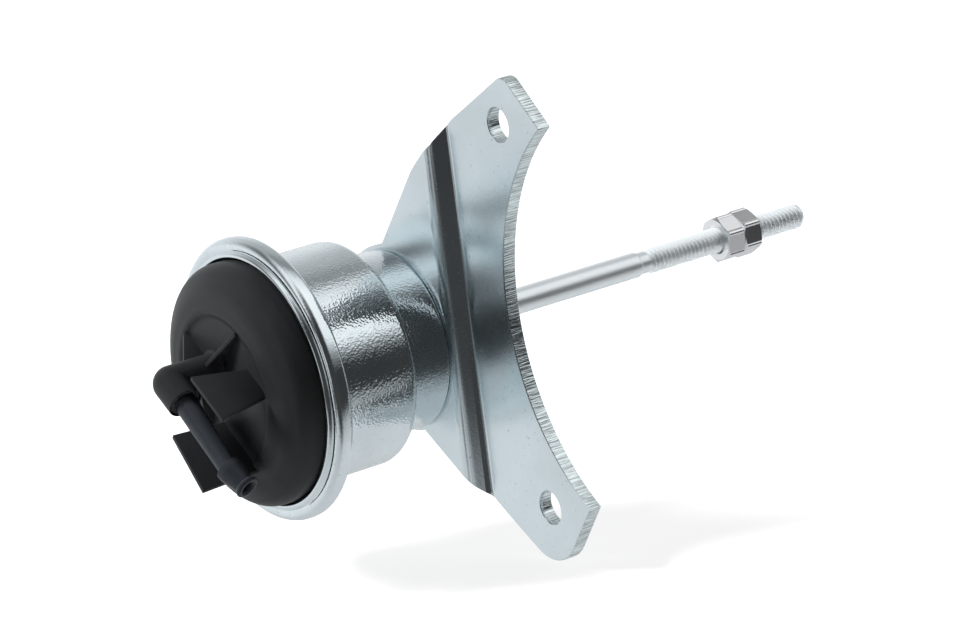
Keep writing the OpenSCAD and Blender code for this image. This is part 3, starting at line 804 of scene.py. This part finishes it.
class ACTUATOR_OT_bracket(bpy.types.Operator):
    """Blank, bend and thicken the stepped bracket"""

    bl_idname = "actuator.bracket"
    bl_label = "Bracket"

    slope = math.radians(48)
    thick = 3.2
    step = 4.0
    tight = 1.3
    wide = 4.5
    first_bend = -20.8
    fold_lines = 8
    seat_r = 21.4
    # the seat end's arc, and the concave edge's: degrees and steps
    seat_start = math.radians(-106.3)
    seat_arc = (190.7, 48)
    concave_centre = (-90.9, 12.75)
    concave_arc = (-105.75, 96)

    def bends(self, side):
        """Place and radius of each of the two bends, on the near (0) or far (1) face."""
        run = self.step / math.tan(self.slope)
        skew = self.thick * math.tan(self.slope / 2) * side
        radii = (self.tight, self.wide) if side else (self.wide, self.tight)
        return (self.first_bend + skew, radii[0]), (self.first_bend - run + skew, radii[1])

    def depth(self, y, side):
        """Place along X of the plate's face where the blank is at y."""
        (y1, r1), (y2, r2) = self.bends(side)
        start = SEAT_X + (self.thick if side else 0)
        reach1, reach2 = r1 * math.tan(self.slope / 2), r2 * math.tan(self.slope / 2)
        if y >= y1 + reach1:
            return start
        if y <= y2 - reach2:
            return start + self.step
        first_end = y1 + reach1 - r1 * math.sin(self.slope)
        second_start = y2 - reach2 + r2 * math.sin(self.slope)
        if y > first_end:
            drop = y1 + reach1 - y
            return start + r1 - math.sqrt(r1 * r1 - drop * drop)
        if y < second_start:
            rise = y - (y2 - reach2)
            return start + self.step - r2 + math.sqrt(r2 * r2 - rise * rise)
        return start + (y1 - y) * math.tan(self.slope)

    def cuts(self):
        """Places of the fold lines, over both faces."""
        places = set()
        for side in (0, 1):
            for (middle, radius), way in zip(self.bends(side), (1, -1)):
                reach = radius * math.tan(self.slope / 2)
                for k in range(self.fold_lines):
                    turn = radius * math.sin(self.slope * k / (self.fold_lines - 1))
                    places.add(round(middle + way * (reach - turn), 4))
        return sorted(places)

    def outline(self, bm):
        """The blank's outline: straight runs, the round seat end and the concave edge."""

        def run(last, corners):
            for y, z in corners:
                vert = bm.verts.new((0, y, z))
                bm.edges.new((last, vert))
                last = vert
            return last

        def arc(last, centre, degrees, steps):
            made = bmesh.ops.spin(
                bm,
                geom=[last],
                cent=(0, *centre),
                axis=(1, 0, 0),
                dvec=(0, 0, 0),
                angle=math.radians(degrees),
                steps=steps,
            )
            return new_verts(made["geom_last"])[0]

        seat_y, seat_z = math.cos(self.seat_start), math.sin(self.seat_start)
        start = bm.verts.new((0, self.seat_r * seat_y, self.seat_r * seat_z))
        last = arc(start, (0, 0), *self.seat_arc)
        top = run(last, [(-14, 40.7), (-21.2, 46.8), (-24.8, 51.6), (-46.85, 64.3), (-58.2, 53.63)])
        low = arc(top, self.concave_centre, *self.concave_arc)
        end = run(low, [(-47.25, -47.7), (-24.6, -34.2), (-19.9, -29.4)])
        bm.edges.new((end, start))
        for y, z, setback, steps in (
            (-14, 40.7, 2.0, 5),
            (-24.8, 51.6, 1.4, 5),
            (-46.85, 64.3, 2.4, 5),
            (-47.25, -47.7, 9.0, 10),
            (-24.6, -34.2, 2.0, 5),
            (-19.9, -29.4, 2.0, 5),
            (-58.2, 53.63, 0.5, 5),
        ):
            corner = min(bm.verts, key=lambda v: (v.co.y - y) ** 2 + (v.co.z - z) ** 2)
            rounded(bm, [corner], setback, steps)

    def execute(self, context):
        colours = context.scene.actuator_finish
        bm = bmesh.new()
        self.outline(bm)
        lean = rotation(-PLATE_LEAN, "X")
        low, high = (lean @ Vector((0, -AXIS_Y, -AXIS_Z + side * BOLT_HOLE_AWAY)) for side in (-1, 1))
        for centre, radius in ((Vector((0, 0, 0)), BUSH_R), (low, BOLT_HOLE_R), (high, BOLT_HOLE_R)):
            flat = Matrix.Translation(centre) @ rotation(90, "Y")
            bmesh.ops.create_circle(bm, segments=64, radius=radius, matrix=flat)
        bmesh.ops.triangle_fill(bm, use_beauty=True, edges=bm.edges[:], normal=(-1, 0, 0))
        bmesh.ops.dissolve_limit(bm, angle_limit=0.01, verts=[], edges=bm.edges[:])
        for y in self.cuts():
            geom = bm.verts[:] + bm.edges[:] + bm.faces[:]
            bmesh.ops.bisect_plane(bm, geom=geom, plane_co=(0, y, 0), plane_no=(0, 1, 0), dist=1e-5)
        near = set(bm.faces)
        made = bmesh.ops.extrude_face_region(bm, geom=bm.faces[:], use_keep_orig=True)["geom"]
        far_verts = set(new_verts(made))
        far = {g for g in made if isinstance(g, bmesh.types.BMFace)}
        for vert in bm.verts:
            vert.co.x = self.depth(vert.co.y, 1 if vert in far_verts else 0)
        walls = [f for f in bm.faces if f not in near and f not in far]
        for face in walls:
            face.material_index = 1
        bmesh.ops.recalc_face_normals(bm, faces=bm.faces[:])
        edges = {e for f in walls for e in f.edges if len({face in walls for face in e.link_faces}) == 2}
        rounded(bm, list(edges), context.scene.actuator_sizes.edge_break, 3, "EDGES")
        plate = plate_zinc("plate_zinc", colours.plate_zinc)
        edge = sheared_zinc("sheared_edge", tone(colours.plate_zinc, 1.05))
        piece = finish_piece(
            "bracket_plate", bm, PLATE_FRAME, BODY, "zinc_plate", "bracket", plate, edge, sharp=28
        )
        for polygon in piece.data.polygons:
            if abs(polygon.normal.x) > 0.9999:
                polygon.use_smooth = False
        return {"FINISHED"}


class ACTUATOR_OT_push_rod(bpy.types.Operator):
    """Turn the push rod and cut its thread"""

    bl_idname = "actuator.push_rod"
    bl_label = "Push rod"

    thread_length = 46.6
    thread_steps = 40
    head_r = 4.0
    stem_r = 2.2
    neck_r = 2.6
    end_r = (2.5, 2.3)  # the chamfers at the thread's start and tip

    def execute(self, context):
        sizes = context.scene.actuator_sizes
        colours = context.scene.actuator_finish
        thread_x, shoulder_x = TIP_X - self.thread_length, CUP_X + 1.1
        corners = [
            (HEAD_X, 0, 0),
            (HEAD_X, 2.8, 0.3),
            (HEAD_X + 0.9, self.head_r, 0.25),
            (HEAD_X + 1.8, self.head_r, 0.1),
            (HEAD_X + 1.8, self.stem_r, 0),
            (shoulder_x, self.stem_r, 0),
            (shoulder_x, ROD_R, 0.1),
            (thread_x - 3.0, ROD_R, 0.12),
            (thread_x - 2.6, self.neck_r + 0.02, 0.12),
            (thread_x - 0.1, self.neck_r, 0.1),
            (thread_x + 0.3, self.stem_r, 0),
            (thread_x + 0.3, 0, 0),
        ]
        steel = drawn_steel("bright_rod", colours.rod_steel, metal=0.88)
        bm = turned(corners, 96, closed=False, segments=4)
        finish_piece("rod_bar", bm, ROD_LINE, ROD, "rod_steel", "push_rod", steel)
        zinc = plated_steel("thread_zinc", colours.rod_steel, rough=0.36, metal=0.75)
        bm = self.thread(thread_x, sizes.thread_pitch, sizes.thread_depth)
        finish_piece("rod_thread", bm, ROD_LINE, ROD, "rod_steel", "push_rod", zinc, sharp=80)
        return {"FINISHED"}

    def thread(self, start, pitch, deep):
        """A helical ridge swept past both ends, cut square, chamfered and closed."""
        turns = math.ceil((TIP_X - start) / pitch) + 2
        root, crest, near_crest = ROD_R - deep, ROD_R, ROD_R - 0.03
        # the ridge's section: share of the pitch, and radius
        profile = [
            (0, root),
            (0.06, root),
            (0.4, near_crest),
            (0.46, crest),
            (0.54, crest),
            (0.6, near_crest),
            (0.94, root),
            (1, root),
        ]
        bm = bmesh.new()
        wire(bm, [(start + (share - 1.2) * pitch, r, 0, 0) for share, r in profile])
        bmesh.ops.spin(
            bm,
            geom=bm.verts[:] + bm.edges[:],
            cent=(0, 0, 0),
            axis=(1, 0, 0),
            dvec=(pitch / self.thread_steps, 0, 0),
            angle=math.tau * turns,
            steps=self.thread_steps * turns,
        )
        bmesh.ops.remove_doubles(bm, verts=bm.verts[:], dist=MERGE)
        for place, way in ((start, -1), (TIP_X, 1)):
            geom = bm.verts[:] + bm.edges[:] + bm.faces[:]
            bmesh.ops.bisect_plane(
                bm, geom=geom, plane_co=(place, 0, 0), plane_no=(way, 0, 0), clear_outer=True
            )
        for vert in bm.verts:
            radius = math.hypot(vert.co.y, vert.co.z)
            most = min(self.end_r[0] + (vert.co.x - start), self.end_r[1] + (TIP_X - vert.co.x))
            if radius > most:
                vert.co.y *= most / radius
                vert.co.z *= most / radius
        ends = [e for e in bm.edges if e.is_boundary]
        bmesh.ops.holes_fill(bm, edges=ends, sides=0)
        return bm


class ACTUATOR_OT_nuts(bpy.types.Operator):
    """Turn and mill the two hexagon nuts on the thread"""

    bl_idname = "actuator.nuts"
    bl_label = "Nuts"

    flat = 5.0
    bore = ROD_R + 0.05
    countersink = 0.4
    edge_r = 0.7
    steps = 480

    def execute(self, context):
        zinc = plated_steel("nut_zinc", context.scene.actuator_finish.nut_zinc, rough=0.18)
        for name, span, turn in (("lock_nut", LOCK_X, 39), ("adjuster_nut", ADJUST_X, 88)):
            bm = self.hexagon(*span)
            place = ROD_LINE @ rotation(turn, "X")
            finish_piece(name + "_milled", bm, place, name + "_body", "nut_steel", name, zinc, sharp=24)
        return {"FINISHED"}

    def hexagon(self, x0, x1):
        """A round nut that is milled to six flats, with its chamfer run out on each flat."""
        flat, bore, sink, half = self.flat, self.bore, self.countersink, math.radians(30)
        corner = flat / math.cos(half)
        crown = flat * 0.97
        slant = math.tan(half)
        drop = (corner - crown) * slant
        corners = [
            (x0 + sink, bore, 0),
            (x0, bore + sink, 0),
            (x0, crown, 0),
            (x0 + drop, corner, 0),
            (x1 - drop, corner, 0),
            (x1, crown, 0),
            (x1, bore + sink, 0),
            (x1 - sink, bore, 0),
        ]
        bm = turned(corners, self.steps)
        bmesh.ops.remove_doubles(bm, verts=bm.verts[:], dist=MERGE)
        edge_at = (flat - self.edge_r) / math.cos(half)
        for vert in bm.verts:
            radius = math.hypot(vert.co.y, vert.co.z)
            if radius < corner - 1e-3:
                continue
            angle = math.atan2(vert.co.z, vert.co.y) % (2 * half) - half
            reach = flat / math.cos(angle)
            aside = edge_at * math.sin(half - abs(angle))
            if aside < self.edge_r:
                rim = edge_at * math.cos(half - abs(angle)) + math.sqrt(self.edge_r**2 - aside**2)
                reach = min(reach, rim)
            vert.co.y *= reach / radius
            vert.co.z *= reach / radius
            fall = max(0.0, reach - crown) * slant
            vert.co.x = x0 + fall if vert.co.x < (x0 + x1) / 2 else x1 - fall
        return bm


class ACTUATOR_OT_diaphragm(bpy.types.Operator):
    """Turn the rolling diaphragm and let its fold follow the piston"""

    bl_idname = "actuator.diaphragm"
    bl_label = "Diaphragm"

    bore = 2.2
    hub_r = 19.1
    wall_r = 24.4
    bead_r = 31.0
    bead = 1.2
    skin = 0.9
    fold_steps = 24

    def fold(self, r, first, last):
        """Corners round the fold, between two turns in degrees."""
        middle_r = (self.wall_r + self.hub_r) / 2
        middle_x = node_span("diaphragm", 0)[1] - (self.wall_r - self.hub_r) / 2
        part = (last - first) / self.fold_steps
        turns = [math.radians(first + part * k) for k in range(self.fold_steps + 1)]
        return [(middle_x + r * math.sin(t), middle_r + r * math.cos(t), 0) for t in turns]

    def execute(self, context):
        disc_back = node_span("clamp_disc", 0)[1]
        bead_x = node_span("cap", 0)[1]
        flange = bead_x + self.bead
        fold_r = (self.wall_r - self.hub_r) / 2
        corners = [
            (disc_back, self.bore, 0),
            (disc_back, self.hub_r, 0.4),
            (CUP_X, self.hub_r + self.skin, 0.2),
            *self.fold(fold_r - self.skin, 180, 0),
            (bead_x, self.wall_r - self.skin, 0),
            (bead_x, self.bead_r, 0.3),
            (flange, self.bead_r, 0.3),
            (flange, self.wall_r + 0.8, 0),
            (flange + 0.8, self.wall_r, 0),
            *self.fold(fold_r, 0, 180),
            (CUP_X, self.hub_r, 0),
            (CUP_X, self.bore, 0),
        ]
        bm = turned(corners, context.scene.actuator_sizes.turn_steps)
        rubber = black_rubber("diaphragm_skin", (0.03, 0.026, 0.024))
        piece = finish_piece("rolling_diaphragm", bm, ROD_LINE, None, "rubber_black", "diaphragm", rubber)
        centre = Vector((disc_back, AXIS_Y, AXIS_Z)) * MM
        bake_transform(piece, BODY, ROD, start=centre + Vector((0, self.wall_r, 0)) * MM, end=centre)
        # the share of the rod's travel goes by the distance from the axis
        outer, inner = self.wall_r - self.skin, self.hub_r + self.skin
        share = piece.data.attributes["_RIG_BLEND"].data
        for vert, part in zip(piece.data.vertices, share):
            radius = math.hypot(vert.co.y - centre.y, vert.co.z - centre.z) / MM
            reach = min(1.0, max(0.0, (outer - radius) / (outer - inner)))
            part.value = reach * reach * (3 - 2 * reach)
        return {"FINISHED"}


class ACTUATOR_OT_carried_over(bpy.types.Operator):
    """Give the solids that stay as they are their finishes, and give the spring a mesh of its own"""

    bl_idname = "actuator.carried_over"
    bl_label = "Inner parts"

    travel = 8.0
    held_end = -10.0

    def execute(self, context):
        pressed = plated_steel("pressed_steel", (0.56, 0.58, 0.6))
        collar = plated_steel("collar_zinc", (0.66, 0.69, 0.71), rough=0.3)
        spring = drawn_steel("spring_wire", (0.32, 0.33, 0.35))
        rubber = black_rubber("black_rubber")
        bronze = sintered_bronze("sintered_bronze")
        finishes = {
            "pipe_seal": rubber,
            "clamp_disc": pressed,
            "head_washer": pressed,
            "piston_cup": pressed,
            "spacer_sleeve": pressed,
            "return_spring": spring,
            "spring_seat": pressed,
            "guide_bush": bronze,
            "stop_bumper": rubber,
            "rod_seal": rubber,
            "seal_keeper": collar,
            "clinch_collar": collar,
        }
        for node, material in finishes.items():
            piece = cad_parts[node]
            piece.data.materials.clear()
            piece.data.materials.append(material)
        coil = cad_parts["return_spring"]
        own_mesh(coil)
        return {"FINISHED"}


class ACTUATOR_OT_stage(bpy.types.Operator):
    """Set the floor, the lamps, the surroundings and the camera"""

    bl_idname = "actuator.stage"
    bl_label = "Stage"

    # the camera's place in millimetres, its directions and its lens, solved from the outlines
    eye = Vector((-456.5, -665.9, 203.6))
    ahead = Vector((0.53637, 0.80805, -0.24366))
    right = Vector((0.80636, -0.57588, -0.13474))
    lens = 145.7
    floor_r = 2.5
    floor_gap = 0.001
    # how white the camera sees the floor, and how much of that covers the floor's shading
    floor_white = 1.12
    floor_cover = 0.75
    aim = Vector((0.02, 0.02, 0.0))

    def execute(self, context):
        studio = context.scene.actuator_studio
        self.camera(context)
        self.floor(studio)
        self.lamps(studio)
        self.surroundings(context, studio)
        context.scene.view_settings.view_transform = "Standard"
        return {"FINISHED"}

    def camera(self, context):
        """The photograph's camera."""
        data = bpy.data.cameras.new("camera")
        data.sensor_width = 36
        data.lens = self.lens
        data.clip_start = 0.01
        camera = linked("camera", data)
        ahead = self.ahead.normalized()
        right = (self.right - ahead * self.right.dot(ahead)).normalized()
        up = right.cross(ahead)
        turn = Matrix((right, up, -ahead)).transposed().to_4x4()
        camera.matrix_world = Matrix.Translation(self.eye * MM) @ turn
        context.scene.camera = camera

    def floor(self, studio):
        """A pale floor that the camera sees as nearly white, with the object's shadow."""
        bm = bmesh.new()
        bmesh.ops.create_circle(bm, cap_ends=True, segments=96, radius=self.floor_r)
        bmesh.ops.translate(bm, verts=bm.verts[:], vec=(0, 0, CAD_BOX[0][2] - self.floor_gap))
        mesh = bpy.data.meshes.new("floor")
        bm.to_mesh(mesh)
        bm.free()
        floor = linked("floor", mesh)
        f = Finish("floor_white")
        tint = studio.floor_tone
        f.done(Base_Color=(tint, tint, tint, 1), Roughness=0.9, Specular_IOR_Level=0.1)
        camera_ray = f.add("ShaderNodeLightPath", out="Is Camera Ray")
        white = f.add("ShaderNodeEmission", {"Color": (1, 1, 1, 1), "Strength": self.floor_white})
        shading = Value(f, f.shader.outputs[0])
        mixed = f.add("ShaderNodeMixShader", (camera_ray * self.floor_cover, shading, white))
        f.shows("Material Output", mixed)
        mesh.materials.append(f.material)
        floor.visible_glossy = False

    def lamps(self, studio):
        """Two soft lamps. The gloss sees the surroundings instead of them."""
        for name, place, size, power in (
            ("key", (-0.5, 0.45, 0.62), 0.3, studio.key_power),
            ("fill", (0.7, -0.5, 0.35), 0.5, studio.fill_power),
        ):
            data = bpy.data.lights.new(name, "AREA")
            data.shape = "SQUARE"
            data.size = size
            data.energy = power
            lamp = linked(name, data)
            turn = (self.aim - Vector(place)).to_track_quat("-Z", "Y").to_matrix().to_4x4()
            lamp.matrix_world = Matrix.Translation(place) @ turn
            lamp.visible_glossy = False

    def surroundings(self, context, studio):
        """Even light, white behind the object, and a studio of pale and dark panels round X in its gloss."""
        f = Finish("studio", world=True)
        context.scene.world = f.material
        way = f.add("ShaderNodeTexCoord", out="Generated")
        parts = f.add("ShaderNodeSeparateXYZ", (way,)).socket.node.outputs
        along, across, up = (Value(f, part) for part in parts)
        turn = f.add("ShaderNodeMath", (up, across), operation="ARCTAN2") / math.tau
        angle = f.add("ShaderNodeMath", (turn + 1.0,), operation="FRACT")
        ramps = []
        for pattern in (PANELS, CAP_END_PANELS):
            stops = [(degrees / 360, tone(PANEL_TINT, level)) for degrees, level in pattern]
            ramps.append(f.add("ShaderNodeValToRGB", (angle,), stops=stops))
        to_cap = 0.0 - along
        panels = f.blend(to_cap.held(0.1, 0.45), *ramps)
        rod_end = f.blend(along.held(0.88, 0.97), panels, ROD_END_GREY)
        dark_ring = f.blend(to_cap.held(0.91, 0.95), rod_end, DARK_RING)
        seen_in_gloss = f.blend(to_cap.held(0.972, 0.99), dark_ring, CAP_END_GREY)
        even = f.add("ShaderNodeBackground", {"Color": (1, 1, 1, 1), "Strength": studio.sky_level})
        gloss = f.add("ShaderNodeBackground", {"Color": seen_in_gloss, "Strength": studio.gloss_level})
        glossy_ray = f.add("ShaderNodeLightPath", out="Is Glossy Ray")
        camera_ray = f.add("ShaderNodeLightPath", out="Is Camera Ray")
        lit = f.add("ShaderNodeMixShader", (glossy_ray, even, gloss))
        seen = f.add("ShaderNodeMixShader", (camera_ray, lit, Value(f, f.shader.outputs[0])))
        f.done(Color=(1, 1, 1, 1), Strength=1.0)
        f.shows("World Output", seen)


class ACTUATOR_PT_panel(bpy.types.Panel):
    """The pieces of the actuator, in the order in which they are made"""

    bl_idname = "ACTUATOR_PT_panel"
    bl_label = "Boost pressure actuator"
    bl_space_type = "VIEW_3D"
    bl_region_type = "UI"
    bl_category = "Actuator"

    def draw(self, context):
        layout = self.layout
        scene = context.scene
        for group in (scene.actuator_sizes, scene.actuator_finish, scene.actuator_studio):
            box = layout.box()
            for name in group.__annotations__:
                box.prop(group, name)
        for operator in OPERATORS:
            layout.operator(operator.bl_idname)


OPERATORS = (
    ACTUATOR_OT_stage,
    ACTUATOR_OT_canister,
    ACTUATOR_OT_cap,
    ACTUATOR_OT_hose_pipe,
    ACTUATOR_OT_bracket,
    ACTUATOR_OT_push_rod,
    ACTUATOR_OT_nuts,
    ACTUATOR_OT_diaphragm,
    ACTUATOR_OT_carried_over,
)
GROUPS = (ActuatorSizes, ActuatorFinish, StudioSettings)


def register():
    for cls in (*GROUPS, *OPERATORS, ACTUATOR_PT_panel):
        bpy.utils.register_class(cls)
    bpy.types.Scene.actuator_sizes = PointerProperty(type=ActuatorSizes)
    bpy.types.Scene.actuator_finish = PointerProperty(type=ActuatorFinish)
    bpy.types.Scene.actuator_studio = PointerProperty(type=StudioSettings)


def unregister():
    del bpy.types.Scene.actuator_studio
    del bpy.types.Scene.actuator_finish
    del bpy.types.Scene.actuator_sizes
    for cls in reversed((*GROUPS, *OPERATORS, ACTUATOR_PT_panel)):
        bpy.utils.unregister_class(cls)


def main():
    register()
    bpy.ops.actuator.stage()
    bpy.ops.actuator.canister()
    bpy.ops.actuator.cap()
    bpy.ops.actuator.hose_pipe()
    bpy.ops.actuator.bracket()
    bpy.ops.actuator.push_rod()
    bpy.ops.actuator.nuts()
    bpy.ops.actuator.diaphragm()
    bpy.ops.actuator.carried_over()


if __name__ == "__main__":
    main()
